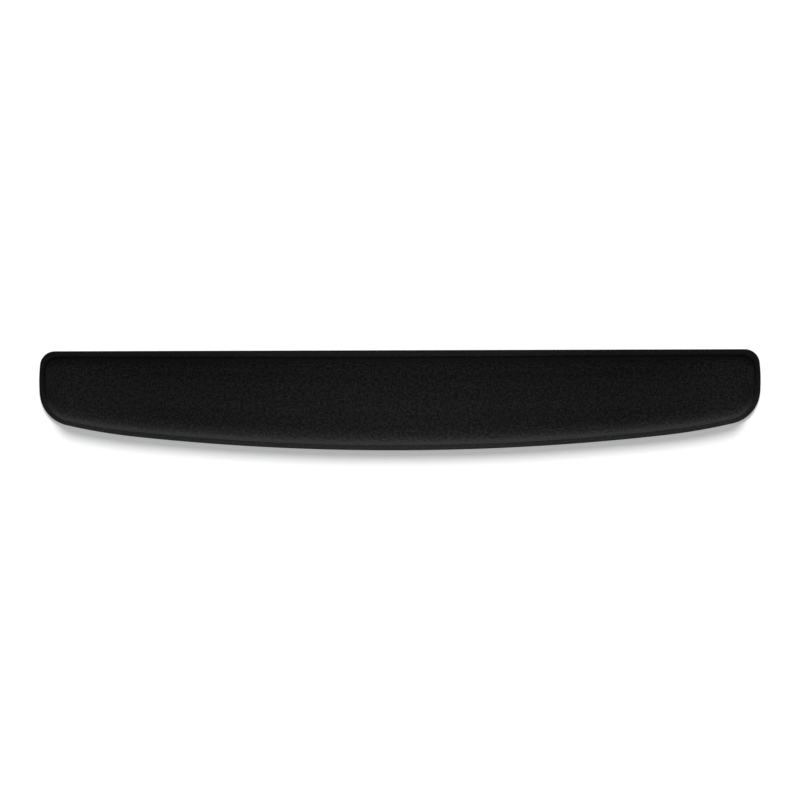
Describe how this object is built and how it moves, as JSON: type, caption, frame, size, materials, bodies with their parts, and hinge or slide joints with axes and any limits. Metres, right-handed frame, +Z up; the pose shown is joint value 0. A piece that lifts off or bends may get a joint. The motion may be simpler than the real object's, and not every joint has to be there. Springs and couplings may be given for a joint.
{
  "type": "keyboard wrist rest",
  "caption": "Long low crowned foam pad with a fabric cover and a thin flat rim, straight at the keyboard side and bowed at the user's side, on a non-slip rubber base.",
  "frame": {"origin": "on the desk, under the middle of the rest's bounding box", "axes": "+X along the length to the user's right, +Y towards the keyboard, where the edge is straight, +Z up"},
  "size_m": [0.483, 0.0672, 0.0185],
  "materials": {
    "base_rubber": "matt black foamed rubber with a fine raised anti-slip pattern underneath",
    "bond_film": "thin translucent hot-melt adhesive film",
    "memory_foam": "dark grey open-cell slow-recovery foam",
    "cover_knit": "black fine-gauge stretch knit, matt with a faint sheen"
  },
  "bodies": {
    "root": {"rubber_base": "base_rubber", "base_bond_film": "bond_film", "foam_core": "memory_foam", "cover_bond_film": "bond_film", "cover_fabric": "cover_knit"}
  },
  "joints": []
}
